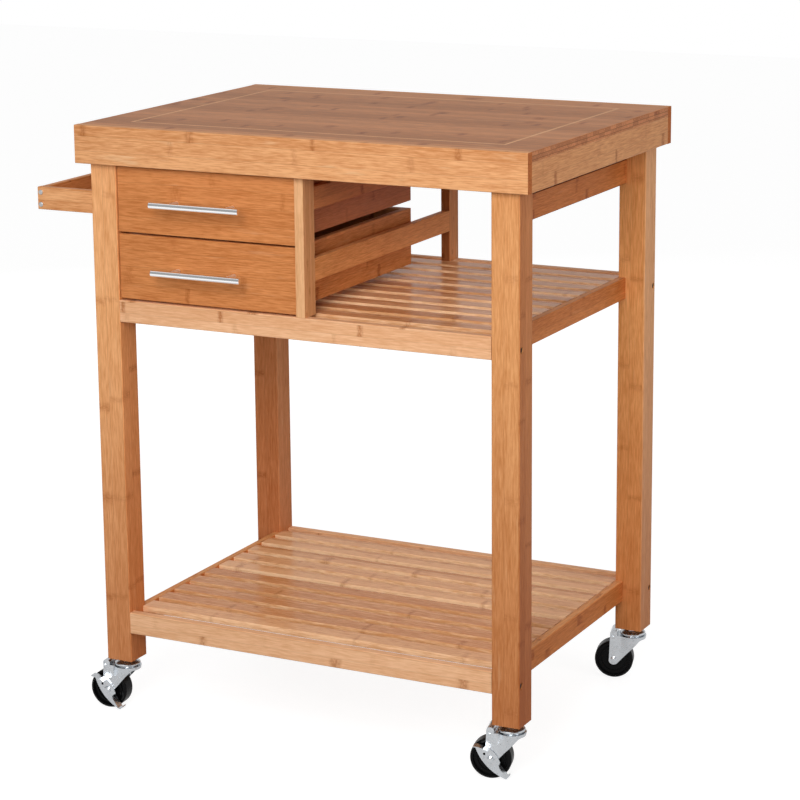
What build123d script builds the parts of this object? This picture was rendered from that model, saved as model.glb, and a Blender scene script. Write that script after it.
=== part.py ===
"""Rolling kitchen cart of laminated bamboo with two drawers, two slatted shelves, a towel rack
and four swivel casters.

Frame: +X to the right, +Y to the back, +Z up.  The origin is on the floor, below the middle of
the whole cart, towel rack and drawer handles included.  All sizes are in millimetres.
"""
from build123d import *
import os
from math import acos, asin, atan2, cos, hypot, pi, sin

os.makedirs("parts", exist_ok=True)

# ---------------------------------------------------------------- driving dimensions
# worktop
top_w = 742.0            # along X
top_d = 546.0            # along Y
overall_h = 927.0        # floor to the worktop's surface
edge_h = 58.0            # visible height of the worktop's edge
edge_t = 14.0            # edge boards and side boards
panel_t = 15.0           # laminated panel
inlay_inset = 61.0       # inlay's outer side to the worktop's rim
inlay_w = 4.5
inlay_t = 2.0
batten_s = 20.0          # square battens under the panel
edge_round = 1.5         # eased edges of legs, rails and boards
# legs
leg_s = 44.0             # square section
side_overhang = 18.0     # worktop's end to the leg's outer face
# rails and shelves
rail_h = 34.0            # height of every rail but the side frames' top ones
top_rail_h = 38.0        # side frames' top rails, which end a narrow shadow gap below the worktop
rail_t = 14.0            # front and back shelf rails
side_t = 12.0            # side rails, divider rails and towel rack boards
middle_shelf_z = 662.0   # top of the middle shelf
lower_shelf_z = 166.0    # top of the lower shelf
slat_w = 31.0
slat_t = 10.0
slat_gap = 15.6
cleat_s = 12.0           # square cleats under the slats' ends
tenon_t = 6.0
tenon_len = 10.0
tenon_shoulder = 5.0     # above and below each tenon
# drawer bay
bay_w = 305.0            # left leg's inner face to the divider
post_t = 15.0            # divider posts, along X
post_d = 33.0            # divider posts, along Y
side_rail_below = 19.5   # lower edge of the side frames' top rails below the upper runner
divider_rail_above = 3.5  # centre of the divider's top rail above the upper runner
# drawers
drawer_gap = 3.0         # above, between and below the fronts
front_side_gap = 1.0     # beside the fronts
front_setback = 3.0      # leg's front face to the drawer front's face
front_t = 15.0
drawer_side_t = 12.0
box_gap = 3.5            # leg's inner face to the drawer box
side_raise = 9.0         # sides start this far above the front's lower edge
drawer_len = 365.0       # sides, along Y
bottom_t = 4.0
bottom_raise = 8.0       # bottom board above the sides' lower edge
bottom_inset = 5.0       # depth of the bottom board's groove
runner_h = 12.0
runner_len = 360.0
runner_bite = 6.0        # runner's reach into the drawer side
runner_share = 0.6       # runner's centre above the side's lower edge, as a share of the side's height
runner_clear = 0.5       # all round in the groove
groove_stop = 20.0       # solid stretch at the front of the groove
# handles
bar_d = 10.0
bar_len = 152.0
handle_pitch = 96.0      # centres of the two handle posts
handle_post_d = 6.0
handle_standoff = 32.0   # front's face to the bar's axis
handle_screw_d = 4.0
handle_screw_in = 8.0    # screw's reach into the handle post
# towel rack
rack_reach = 102.0       # worktop's end to the rack's outer face
rack_h = 35.0
rack_drop = 49.0         # worktop's lower edge to the rack's upper edge
rack_screw_spread = 19.0  # two screws at each end of the bar
rack_arm_spread = 12.0   # two screws from each leg into an arm
# fasteners
bolt_d = 6.0
bolt_len = 65.0
bolt_head_d = 9.6
bolt_head_h = 5.0
bolt_hex = 4.0           # across flats
bolt_sink = 7.0          # depth of the counterbore in the leg's outer face
nut_d = 10.0
nut_in = 22.0            # barrel nut's axis from the rail's end
screw_d = 4.0
screw_head_d = 7.5
screw_head_h = 2.4
hole_clear = 0.1         # on the radius, for fasteners that don't turn
# casters
caster_h = 85.0          # floor to the leg's lower end
wheel_d = 62.0
wheel_w = 24.0
trail = 29.0             # swivel axis to the wheel's axle
stem_d = 10.0
stem_len = 36.0          # inside the leg
collar_d = 20.0
collar_h = 5.2
race_plate_d = 41.0
race_plate_h = 6.5
race_rim_h = 3.5         # race plate's upright rim
race_gap = 0.4           # between the race plate and the fork
race_ring_d = 32.0
race_ring_h = 1.4
crown_d = 44.0           # fork's round crown
crown_t = 2.5
crown_lip = 5.0          # height of the crown's rim
fork_t = 2.0             # fork's sheet
fork_clear = 1.0         # wheel's side to the fork's cheek
cheek_w = 16.0           # fork's cheek at the axle
cheek_fold = 11.5        # axle to the fold between cheek and flared web
fork_lean = 2.0          # cheek's rear edge leans forward towards the crown
web_reach = 14.0         # flared webs meet the crown's rim this far ahead of the swivel axis
web_curve = 8.0
roll_d = 12.0            # rolled rear end of the fork's crown
roll_lift = 3.5          # roll's axis above the crown
roll_dish = 1.2
kingpin_d = 11.0
kingpin_head_d = 16.0
kingpin_head_h = 3.0
axle_d = 6.0
axle_head_d = 11.0
axle_head_h = 2.2
run_clear = 0.06         # on the radius, for what turns on a shaft
face_clear = 0.3         # between faces that pass each other
hub_d = 22.0
wheel_recess = 4.0
brake_t = 1.5
brake_back = 33.0        # axle to the lever's rear tip
brake_front = 37.0       # axle to the lever's front end
brake_low = 10.5         # lever's lower edge below the axle
brake_high = 12.0        # lever's upper edge above the axle
brake_end_w = 7.0        # blunt front end
brake_neck = 17.0        # axle to the point where the front arm has become slender
brake_neck_h = 6.0       # upper edge above the lever's line there
brake_flange = 12.0      # pedals, bent outwards from the upper edge
brake_flange_from = 13.0  # pedals start this far from the axle
brake_shoe = 9.0         # front end's tab, bent inwards over the tread
brake_hole_d = 4.0
brake_hole_back = 12.0   # axle to the hole in the lever
brake_slopes = {"left": 49.0, "right": 45.0}  # lever's slope, rear tip up
# caster headings: how far each fork trails from straight left towards the front, in degrees
headings = {"front_left": 5.0, "front_right": 14.0, "back_left": 20.0, "back_right": 16.0}

# ---------------------------------------------------------------- derived places
handle_out = handle_standoff + bar_d / 2 - edge_t - front_setback
overall_w = top_w + rack_reach
overall_d = top_d + max(handle_out, 0)
x_right = overall_w / 2
x_left = x_right - top_w
y_front = -overall_d / 2 + max(handle_out, 0)
y_back = y_front + top_d
edge_z = overall_h - edge_h              # worktop's lower edge
panel_z = overall_h - panel_t            # panel's underside
leg_x = {"left": x_left + side_overhang, "right": x_right - side_overhang - leg_s}
leg_y = {"front": y_front + edge_t, "back": y_back - edge_t - leg_s}
inner_left = leg_x["left"] + leg_s       # legs' inner faces
inner_right = leg_x["right"]
frame_front = leg_y["front"]             # legs' front and back faces
frame_back = leg_y["back"] + leg_s
between_front = frame_front + leg_s      # clear space between front and back legs
between_back = leg_y["back"]
post_x = inner_left + bay_w              # divider's left face
divider_x = post_x + post_t              # divider's right face
front_h = (edge_z - middle_shelf_z - 3 * drawer_gap) / 2
front_z = {"lower": middle_shelf_z + drawer_gap, "upper": middle_shelf_z + 2 * drawer_gap + front_h}
side_h = front_h - side_raise
runner_raise = runner_share * side_h     # runner's centre above the side's lower edge
runner_z = {key: z + side_raise + runner_raise for key, z in front_z.items()}
front_y = frame_front + front_setback    # drawer front's face
box_y = front_y + front_t                # drawer sides start here
box_back = box_y + drawer_len
box_left = inner_left + box_gap
box_right = post_x - box_gap
side_rail_z = {                          # lower edges
    "top": runner_z["upper"] - side_rail_below,
    "drawer": runner_z["lower"] - rail_h / 2,
    "middle_shelf": middle_shelf_z - rail_h,
    "lower_shelf": lower_shelf_z - rail_h,
}
divider_rail_z = {
    "top": runner_z["upper"] + divider_rail_above - rail_h / 2,
    "mid": runner_z["lower"] - rail_h / 2,
}
shelf_top = {"middle": middle_shelf_z, "lower": lower_shelf_z}
rack_z = edge_z - rack_drop - rack_h
rack_x = x_left - rack_reach
bolt_y = {"front": frame_front + rail_t / 2, "back": frame_back - rail_t / 2}
wheel_r = wheel_d / 2
plate_z = caster_h - collar_h - race_plate_h   # race plate's underside
crown_z = plate_z - race_gap - race_ring_h     # crown's upper face
cheek_in = wheel_w / 2 + fork_clear            # cheeks' inner faces
cheek_out = cheek_in + fork_t


# ---------------------------------------------------------------- small helpers
def block(x0, x1, y0, y1, z0, z1):
    """Box between two corners."""
    return Pos(x0, y0, z0) * Box(x1 - x0, y1 - y0, z1 - z0, align=(Align.MIN, Align.MIN, Align.MIN))


def rod(x, y, z, axis, radius, length):
    """Cylinder that starts at a point and runs along +axis."""
    turn = {"X": Rot(0, 90, 0), "Y": Rot(-90, 0, 0), "Z": Rot(0, 0, 0)}[axis]
    return Pos(x, y, z) * turn * Cylinder(radius, length, align=(Align.CENTER, Align.CENTER, Align.MIN))


def eased(solid, axis, radius=None):
    """Round the long edges that run along an axis."""
    return fillet(solid.edges().filter_by(axis), edge_round if radius is None else radius)


def group(solids):
    """Several separate solids in one node."""
    return Compound(children=[s.solid() if isinstance(s, Part) else s for s in solids])


def rail_along_y(x0, x1, y0, y1, z0, height):
    """Side rail with a stub tenon at each end."""
    rail = eased(block(x0, x1, y0, y1, z0, z0 + height), Axis.Y)
    return rail + tenon(x0, x1, y0 - tenon_len, y1 + tenon_len, z0, height)


def tenon(x0, x1, y0, y1, z0, height):
    """Bar that is the tenons of a rail, or the cutter of their mortises."""
    mid = (x0 + x1) / 2
    return block(mid - tenon_t / 2, mid + tenon_t / 2, y0, y1,
                 z0 + tenon_shoulder, z0 + height - tenon_shoulder)


# ---------------------------------------------------------------- worktop
def batten_spans():
    """X ranges of the two battens, beside the legs' inner faces."""
    return [(inner_left, inner_left + batten_s), (inner_right - batten_s, inner_right)]


def batten_screw_ys():
    span = y_back - y_front - 2 * edge_t
    return [y_front + edge_t + span * share for share in (0.3, 0.7)]


def inlay_strips(depth):
    """Four strips just inside the rim, long ones along X."""
    x0, x1 = x_left + inlay_inset, x_right - inlay_inset
    y0, y1 = y_front + inlay_inset, y_back - inlay_inset
    z0, z1 = overall_h - depth, overall_h
    long_strips = [block(x0, x1, y, y + inlay_w, z0, z1) for y in (y0, y1 - inlay_w)]
    short_strips = [block(x, x + inlay_w, y0 + inlay_w, y1 - inlay_w, z0, z1) for x in (x0, x1 - inlay_w)]
    return long_strips + short_strips


def worktop_panel():
    panel = block(x_left, x_right, y_front + edge_t, y_back - edge_t, panel_z, overall_h)
    rims = panel.edges().filter_by(Axis.Y).group_by(Axis.Z)[-1]
    panel = fillet(rims, edge_round)
    for strip in inlay_strips(inlay_t):
        panel -= strip
    for x0, x1 in batten_spans():
        for y in batten_screw_ys():
            panel -= rod((x0 + x1) / 2, y, panel_z, "Z", screw_d / 2 + hole_clear, panel_t * 0.6 + 1)
    return panel


def edge_board(y0, outer):
    """Full-height board in front of or behind the panel; outer picks its outer side."""
    board = block(x_left, x_right, y0, y0 + edge_t, edge_z, overall_h)
    return fillet(board.edges().filter_by(Axis.X).group_by(Axis.Y)[outer], edge_round)


def side_board(x0, outer):
    """Board under the panel's end, between the edge boards."""
    board = block(x0, x0 + edge_t, y_front + edge_t, y_back - edge_t, edge_z, panel_z)
    lower = board.edges().filter_by(Axis.Y).group_by(Axis.X)[outer].sort_by(Axis.Z)[0]
    return fillet(lower, edge_round)


def worktop_battens():
    battens = []
    for (x0, x1), leg_side in zip(batten_spans(), ("left", "right")):
        batten = block(x0, x1, y_front + edge_t, y_back - edge_t, panel_z - batten_s, panel_z)
        for y in batten_screw_ys():
            batten -= rod((x0 + x1) / 2, y, panel_z - batten_s, "Z", screw_d / 2 + hole_clear, batten_s)
        for y in leg_y.values():
            batten -= rod(x0, y + leg_s / 2, panel_z - batten_s / 2, "X", screw_d / 2 + hole_clear, batten_s)
        battens.append(batten)
    return battens


# ---------------------------------------------------------------- legs and side frames
def side_rail_x(side):
    """X range of a side frame's rails, flush with the legs' inner faces."""
    return (inner_left - side_t, inner_left) if side == "left" else (inner_right, inner_right + side_t)


def side_rail_levels(side):
    return [level for level in side_rail_z if side == "left" or level != "drawer"]


def side_rail_h(level):
    return top_rail_h if level == "top" else rail_h


def side_rail(side, level):
    x0, x1 = side_rail_x(side)
    return rail_along_y(x0, x1, between_front, between_back, side_rail_z[level], side_rail_h(level))


def rack_leg_screw_zs():
    mid = rack_z + rack_h / 2
    return [mid - rack_arm_spread / 2, mid + rack_arm_spread / 2]


def rack_arm_y(end):
    """Y range of a towel rack arm, flush with the leg's face that looks along the rack."""
    return (between_front - side_t, between_front) if end == "front" else (between_back, between_back + side_t)


def leg(end, side):
    x0, y0 = leg_x[side], leg_y[end]
    post = eased(block(x0, x0 + leg_s, y0, y0 + leg_s, caster_h, panel_z), Axis.Z)
    # mortises for the side rails
    rail_x0, rail_x1 = side_rail_x(side)
    for level in side_rail_levels(side):
        z, height = side_rail_z[level], side_rail_h(level)
        if end == "front":
            post -= tenon(rail_x0, rail_x1, between_front - tenon_len, between_front + 1, z, height)
        else:
            post -= tenon(rail_x0, rail_x1, between_back - 1, between_back + tenon_len, z, height)
    # counterbored bolt holes into the shelf rails
    for top in shelf_top.values():
        z = top - rail_h / 2
        post -= rod(x0, bolt_y[end], z, "X", bolt_d / 2 + hole_clear, leg_s)
        sink_x = x0 if side == "left" else x0 + leg_s - bolt_sink
        post -= rod(sink_x, bolt_y[end], z, "X", bolt_head_d / 2 + hole_clear, bolt_sink)
    # stem hole, batten screw hole
    centre_x, centre_y = x0 + leg_s / 2, y0 + leg_s / 2
    post -= rod(centre_x, centre_y, caster_h, "Z", stem_d / 2 + hole_clear, stem_len + 2)
    pilot_x = inner_left - leg_s / 2 if side == "left" else inner_right
    post -= rod(pilot_x, centre_y, panel_z - batten_s / 2, "X", screw_d / 2 + hole_clear, leg_s / 2)
    # towel rack screws come from the inner face, with sunk heads
    if side == "left":
        y = sum(rack_arm_y(end)) / 2
        for z in rack_leg_screw_zs():
            post -= rod(x0, y, z, "X", screw_d / 2 + hole_clear, leg_s)
            post -= rod(inner_left - leg_s / 2, y, z, "X", screw_head_d / 2 + hole_clear, leg_s / 2)
    return post


# ---------------------------------------------------------------- shelves
def bolt_start(side):
    """X of the bolt head's seat in the leg."""
    return leg_x["left"] + bolt_sink if side == "left" else leg_x["right"] + leg_s - bolt_sink


def shelf_long_rail(shelf, end):
    """Front or back rail of a shelf, bored at both ends for a bolt and its barrel nut."""
    z1 = shelf_top[shelf]
    y0 = frame_front if end == "front" else frame_back - rail_t
    rail = eased(block(inner_left, inner_right, y0, y0 + rail_t, z1 - rail_h, z1), Axis.X)
    z = z1 - rail_h / 2
    bolt_reach = bolt_len - (leg_s - bolt_sink) + 2
    nut_y = y0 + rail_t - nut_length() if end == "front" else y0
    for nut_x, hole_x in ((inner_left + nut_in, inner_left), (inner_right - nut_in, inner_right - bolt_reach)):
        rail -= rod(hole_x, bolt_y[end], z, "X", bolt_d / 2 + hole_clear, bolt_reach)
        rail -= rod(nut_x, nut_y, z, "Y", nut_d / 2 + hole_clear, nut_length())
    if shelf == "middle":
        x = post_x + post_t / 2
        rail -= rod(x, bolt_y[end], z1 - rail_h, "Z", screw_d / 2 + hole_clear, rail_h)
        rail -= rod(x, bolt_y[end], z1 - rail_h, "Z", screw_head_d / 2 + hole_clear, post_screw_sink())
    return rail


def nut_length():
    return rail_t - 2


def post_screw_sink():
    return rail_h / 3


def slats(shelf):
    """Slats across the cart, set out from the back rail; the wider gap is left at the front."""
    z1 = shelf_top[shelf]
    y_first, y_last = frame_front + rail_t, frame_back - rail_t
    pitch = slat_w + slat_gap
    count = int((y_last - y_first - slat_gap) / pitch)
    boards = []
    for i in range(count):
        y1 = y_last - slat_gap - i * pitch
        boards.append(eased(block(inner_left, inner_right, y1 - slat_w, y1, z1 - slat_t, z1), Axis.X, slat_t / 10))
    return group(boards)


def shelf_cleats():
    """Square strips under the slats' ends, against the side frames."""
    y0, y1 = frame_front + rail_t, frame_back - rail_t
    cleats = []
    for top in shelf_top.values():
        z1 = top - slat_t
        for x0 in (inner_left, inner_right - cleat_s):
            cleats.append(block(x0, x0 + cleat_s, y0, y1, z1 - cleat_s, z1))
    return cleats


# ---------------------------------------------------------------- divider
def divider_rail_x():
    return divider_x - side_t, divider_x


def divider_post(end):
    y0 = frame_front if end == "front" else frame_back - post_d
    post = eased(block(post_x, divider_x, y0, y0 + post_d, middle_shelf_z, panel_z), Axis.Z, edge_round / 2)
    x0, x1 = divider_rail_x()
    for z in divider_rail_z.values():
        if end == "front":
            post -= tenon(x0, x1, y0 + post_d - tenon_len, y0 + post_d + 1, z, rail_h)
        else:
            post -= tenon(x0, x1, y0 - 1, y0 + tenon_len, z, rail_h)
    post -= rod(post_x + post_t / 2, bolt_y[end], middle_shelf_z, "Z", screw_d / 2 + hole_clear, post_screw_in() + 1)
    return post


def post_screw_in():
    return 25.0


def divider_rail(level):
    x0, x1 = divider_rail_x()
    return rail_along_y(x0, x1, frame_front + post_d, frame_back - post_d, divider_rail_z[level], rail_h)


def drawer_runners():
    """One strip on each side of each drawer, standing into the groove of the drawer's side."""
    y0 = between_front + 2
    runners = []
    for z in runner_z.values():
        z0, z1 = z - runner_h / 2, z + runner_h / 2
        left = block(inner_left, box_left + runner_bite, y0, y0 + runner_len, z0, z1)
        right = block(box_right - runner_bite, divider_rail_x()[0], y0, y0 + runner_len, z0, z1)
        runners += [left, right]
    return group(runners)


# ---------------------------------------------------------------- drawers
def handle_xs():
    mid = (inner_left + post_x) / 2
    return [mid - handle_pitch / 2, mid + handle_pitch / 2]


def bottom_groove(z):
    """Space of the bottom board, let into all four walls."""
    x0, x1 = box_left + drawer_side_t - bottom_inset, box_right - drawer_side_t + bottom_inset
    y0, y1 = box_y - bottom_inset, box_back - drawer_side_t + bottom_inset
    z0 = z + side_raise + bottom_raise
    return block(x0, x1, y0, y1, z0, z0 + bottom_t)


def drawer_front(z):
    x0, x1 = inner_left + front_side_gap, post_x - front_side_gap
    front = block(x0, x1, front_y, box_y, z, z + front_h)
    front = fillet(front.edges().group_by(Axis.Y)[0], edge_round / 2)
    front -= bottom_groove(z)
    for x in handle_xs():
        front -= rod(x, front_y, z + front_h / 2, "Y", handle_screw_d / 2 + hole_clear, front_t)
    return front


def drawer_sides(z):
    """Two sides, grooved outside for the runners and inside for the bottom board."""
    z0 = z + side_raise
    groove_z = z0 + runner_raise
    half = runner_h / 2 + runner_clear
    bite = runner_bite + runner_clear
    sides = []
    for x0, groove_x in ((box_left, box_left), (box_right - drawer_side_t, box_right - bite)):
        side = eased(block(x0, x0 + drawer_side_t, box_y, box_back, z0, z0 + side_h), Axis.Y, edge_round / 2)
        side -= block(groove_x, groove_x + bite, box_y + groove_stop, box_back, groove_z - half, groove_z + half)
        side -= bottom_groove(z)
        sides.append(side)
    return group(sides)


def drawer_back(z):
    x0, x1 = box_left + drawer_side_t, box_right - drawer_side_t
    z0 = z + side_raise
    return block(x0, x1, box_back - drawer_side_t, box_back, z0, z0 + side_h) - bottom_groove(z)


def drawer_bottom(z):
    return bottom_groove(z)


def drawer_handle(z):
    """Round bar on two thin posts."""
    mid = (inner_left + post_x) / 2
    level = z + front_h / 2
    bar_y = front_y - handle_standoff
    bar = rod(mid - bar_len / 2, bar_y, level, "X", bar_d / 2, bar_len)
    bar = chamfer(bar.edges().filter_by(GeomType.CIRCLE), bar_d / 16)
    for x in handle_xs():
        bar += rod(x, bar_y, level, "Y", handle_post_d / 2, handle_standoff)
        bar -= rod(x, front_y - handle_screw_in - 1, level, "Y", handle_screw_d / 2 + hole_clear, handle_screw_in + 1)
    return bar


def handle_screws(z):
    screws = []
    for x in handle_xs():
        length = front_t + handle_screw_in
        screw = rod(x, front_y - handle_screw_in, z + front_h / 2, "Y", handle_screw_d / 2, length)
        screw += pan_head(x, box_y, z + front_h / 2, "Y", handle_screw_d)
        screws.append(screw)
    return group(screws)


# ---------------------------------------------------------------- fasteners
def pan_head(x, y, z, axis, shank_d, away=1):
    """Low round head that starts at a seat and stands away from it along the axis."""
    radius, height = shank_d * screw_head_d / screw_d / 2, screw_head_h
    head = Cylinder(radius, height, align=(Align.CENTER, Align.CENTER, Align.MIN))
    head = chamfer(head.faces().sort_by(Axis.Z)[-1].edges(), height / 3)
    turn = {"X": Rot(0, 90 * away, 0), "Y": Rot(-90 * away, 0, 0), "Z": Rot(90 - 90 * away, 0, 0)}[axis]
    return Pos(x, y, z) * turn * head


def frame_bolts():
    """Socket-head bolts through the legs, sunk below the outer faces."""
    bolts = []
    for top in shelf_top.values():
        for y in bolt_y.values():
            for side, away in (("left", -1), ("right", 1)):
                seat = bolt_start(side)
                head = Cylinder(bolt_head_d / 2, bolt_head_h, align=(Align.CENTER, Align.CENTER, Align.MIN))
                socket = extrude(RegularPolygon(bolt_hex / 2, 6, major_radius=False), bolt_head_h / 2)
                head -= Pos(0, 0, bolt_head_h / 2) * socket
                head += Pos(0, 0, -bolt_len) * Cylinder(bolt_d / 2, bolt_len,
                                                        align=(Align.CENTER, Align.CENTER, Align.MIN))
                bolts.append(Pos(seat, y, top - rail_h / 2) * Rot(0, 90 * away, 0) * head)
    return group(bolts)


def barrel_nuts():
    """Cross dowels in the shelf rails, drilled for the bolts."""
    nuts = []
    for top in shelf_top.values():
        for end, y in bolt_y.items():
            nut_y = frame_front + rail_t - nut_length() if end == "front" else frame_back - rail_t
            for x in (inner_left + nut_in, inner_right - nut_in):
                nut = rod(x, nut_y, top - rail_h / 2, "Y", nut_d / 2, nut_length())
                nut -= rod(x - nut_d / 2, y, top - rail_h / 2, "X", bolt_d / 2 + hole_clear, nut_d)
                nuts.append(nut)
    return group(nuts)


def assembly_screws():
    """Wood screws of the battens and of the divider posts."""
    screws = []
    for x0, x1 in batten_spans():
        x = (x0 + x1) / 2
        for y in batten_screw_ys():
            shank = rod(x, y, panel_z - batten_s, "Z", screw_d / 2, batten_s + panel_t * 0.6)
            screws.append(shank + pan_head(x, y, panel_z - batten_s, "Z", screw_d, -1))
    for y in leg_y.values():
        z = panel_z - batten_s / 2
        reach = batten_s + leg_s / 2 - 1
        left = rod(inner_left + batten_s - reach, y + leg_s / 2, z, "X", screw_d / 2, reach)
        right = rod(inner_right - batten_s, y + leg_s / 2, z, "X", screw_d / 2, reach)
        screws.append(left + pan_head(inner_left + batten_s, y + leg_s / 2, z, "X", screw_d))
        screws.append(right + pan_head(inner_right - batten_s, y + leg_s / 2, z, "X", screw_d, -1))
    for y in bolt_y.values():
        x, seat = post_x + post_t / 2, middle_shelf_z - rail_h + post_screw_sink()
        shank = rod(x, y, seat, "Z", screw_d / 2, middle_shelf_z - seat + post_screw_in())
        screws.append(shank + pan_head(x, y, seat, "Z", screw_d, -1))
    return group(screws)


# ---------------------------------------------------------------- towel rack
def rack_bar_screw_zs():
    mid = rack_z + rack_h / 2
    return [mid - rack_screw_spread / 2, mid + rack_screw_spread / 2]


def towel_rack_arms():
    arms = []
    for end in ("front", "back"):
        y0, y1 = rack_arm_y(end)
        arm = eased(block(rack_x, leg_x["left"], y0, y1, rack_z, rack_z + rack_h), Axis.X)
        for z in rack_bar_screw_zs():
            arm -= rod(rack_x + side_t / 2, y0, z, "Y", screw_d / 2 + hole_clear, side_t)
        for z in rack_leg_screw_zs():
            arm -= rod(leg_x["left"] - rack_screw_in(), (y0 + y1) / 2, z, "X",
                       screw_d / 2 + hole_clear, rack_screw_in())
        arms.append(arm)
    return group(arms)


def rack_screw_in():
    return 30.0


def towel_rack_bar():
    bar = eased(block(rack_x, rack_x + side_t, between_front, between_back, rack_z, rack_z + rack_h), Axis.Y)
    for z in rack_bar_screw_zs():
        for y in (between_front, between_back - rack_screw_in()):
            bar -= rod(rack_x + side_t / 2, y, z, "Y", screw_d / 2 + hole_clear, rack_screw_in())
    return bar


def towel_rack_screws():
    screws = []
    for z in rack_bar_screw_zs():
        x, reach = rack_x + side_t / 2, side_t + rack_screw_in() - 1
        y0, y1 = rack_arm_y("front")[0], rack_arm_y("back")[1]
        screws.append(rod(x, y0, z, "Y", screw_d / 2, reach) + pan_head(x, y0, z, "Y", screw_d, -1))
        screws.append(rod(x, y1 - reach, z, "Y", screw_d / 2, reach) + pan_head(x, y1, z, "Y", screw_d))
    for end in ("front", "back"):
        y, seat = sum(rack_arm_y(end)) / 2, inner_left - leg_s / 2
        for z in rack_leg_screw_zs():
            tip = leg_x["left"] - rack_screw_in() + 1
            shank = rod(tip, y, z, "X", screw_d / 2, seat - tip)
            screws.append(shank + pan_head(seat, y, z, "X", screw_d))
    return group(screws)


# ---------------------------------------------------------------- casters
# Each caster is drawn about its swivel axis, trailing along -X, with its brake on the -Y side.
def place_caster(shape, end, side):
    x, y = leg_x[side] + leg_s / 2, leg_y[end] + leg_s / 2
    return Pos(x, y, 0) * Rot(0, 0, headings[f"{end}_{side}"]) * shape


def ring_of(points):
    """Solid of revolution about Z from (radius, z) points."""
    profile = Plane.XZ * make_face(Polyline(*points, close=True))
    return revolve(profile, Axis.Z)


def caster_stem():
    """Stem, collar, upper race plate and riveted kingpin, turned as one."""
    shank, head = kingpin_d / 2, kingpin_head_d / 2
    plate, collar, stem = race_plate_d / 2, collar_d / 2, stem_d / 2
    head_top = crown_z - crown_t - face_clear
    points = [
        (0, head_top - kingpin_head_h), (head - 1, head_top - kingpin_head_h), (head, head_top - kingpin_head_h + 1),
        (head, head_top), (shank, head_top), (shank, plate_z), (plate - 1, plate_z), (plate, plate_z + 1),
        (plate, plate_z + race_rim_h - 1), (plate - 1, plate_z + race_rim_h),
        (collar, plate_z + race_plate_h), (collar, caster_h), (stem, caster_h),
        (stem, caster_h + stem_len - 1), (stem - 1, caster_h + stem_len), (0, caster_h + stem_len),
    ]
    return ring_of(points)


def fork_plan(half, nose, rear):
    """Plan outline of the fork: straight cheeks behind, opening out to a round nose in front."""
    corner = (-trail + cheek_fold, half)
    reach = hypot(*corner)
    tangent = atan2(corner[1], corner[0]) - acos(min(nose / reach, 1))
    touch = (nose * cos(tangent), nose * sin(tangent))
    mirrored = [(x, -y) for x, y in ((rear, half), corner, touch)]
    outline = [
        Line((rear, half), corner), Line(corner, touch),
        ThreePointArc(touch, (nose, 0), mirrored[2]),
        Line(mirrored[2], mirrored[1]), Line(mirrored[1], mirrored[0]), Line(mirrored[0], (rear, half)),
    ]
    return make_face(Wire(outline))


def fork_body(half, nose, nose_low, rear, z0, z1):
    """Loft between a narrow plan at the axle and the wide round plan under the crown."""
    low = Pos(0, 0, z0) * fork_plan(half, nose_low, rear)
    high = Pos(0, 0, z1) * fork_plan(half, nose, rear + fork_lean)
    return loft([low, high], ruled=True)


def fork_side():
    """Side outline of the fork, extruded across it: rounded at the axle, cut back to the nose."""
    axle_end = cheek_w / 2
    nose_x, nose_z = crown_d / 2 + 1, crown_z - crown_lip
    start = (web_reach, nose_z)
    dx, dz = start[0] + trail, start[1] - wheel_r
    slope = atan2(dz, dx) + asin(axle_end / hypot(dx, dz))
    touch = (-trail + axle_end * sin(slope), wheel_r - axle_end * cos(slope))
    half_way = slope / 2 - pi / 4
    low_mid = (-trail + axle_end * sin(half_way), wheel_r - axle_end * cos(half_way))
    outline = [
        Line((-trail - axle_end, crown_z), (-trail - axle_end, wheel_r)),
        ThreePointArc((-trail - axle_end, wheel_r), low_mid, touch),
        Line(touch, start), Line(start, (nose_x, nose_z)), Line((nose_x, nose_z), (nose_x, crown_z)),
        Line((nose_x, crown_z), (-trail - axle_end, crown_z)),
    ]
    face = make_face(Wire(outline))
    face = fillet(face.vertices().sort_by_distance(start)[0], web_curve)
    return extrude(Plane.XZ * face, crown_d, both=True)


def caster_fork():
    """Pressed fork: round crown with a raised race ring, flared webs and a rolled rear edge."""
    nose, rear = crown_d / 2, -trail - cheek_w / 2
    z0 = wheel_r - cheek_w / 2 - 1
    shell = fork_body(cheek_out, nose, cheek_out, rear, z0, crown_z)
    inside = fork_body(cheek_in, nose - fork_t, cheek_in, rear - fork_lean - 1, z0, crown_z)
    roof = block(-2 * trail - cheek_w, crown_d, -crown_d, crown_d, crown_z - crown_t, crown_z + 1)
    fork = (shell - (inside - roof)) & fork_side()
    roll_half, roll_z = cheek_out + roll_dish, crown_z + roll_lift
    fork += rod(-trail, -roll_half, roll_z, "Y", roll_d / 2, 2 * roll_half)
    for y in (-roll_half, roll_half - roll_dish):
        fork -= rod(-trail, y, roll_z, "Y", roll_d / 3, roll_dish)
    fork += rod(0, 0, crown_z - crown_t, "Z", race_ring_d / 2, crown_t + race_ring_h)
    fork -= rod(0, 0, crown_z - crown_t, "Z", kingpin_d / 2 + run_clear, crown_t + race_ring_h)
    fork -= rod(-trail, -cheek_out, wheel_r, "Y", axle_d / 2 + hole_clear, 2 * cheek_out)
    return fork


def caster_axle(braked):
    """Rivet through both cheeks, longer on the brake's side."""
    reach = cheek_out + (brake_t + 2 * face_clear if braked else 0)
    axle = rod(-trail, -reach, wheel_r, "Y", axle_d / 2, reach + cheek_out)
    for y, away in ((-reach, -1), (cheek_out, 1)):
        head = Cylinder(axle_head_d / 2, axle_head_h, align=(Align.CENTER, Align.CENTER, Align.MIN))
        head = chamfer(head.faces().sort_by(Axis.Z)[-1].edges(), axle_head_h / 2, axle_head_h)
        axle += Pos(-trail, y, wheel_r) * Rot(-90 * away, 0, 0) * head
    return axle


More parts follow.
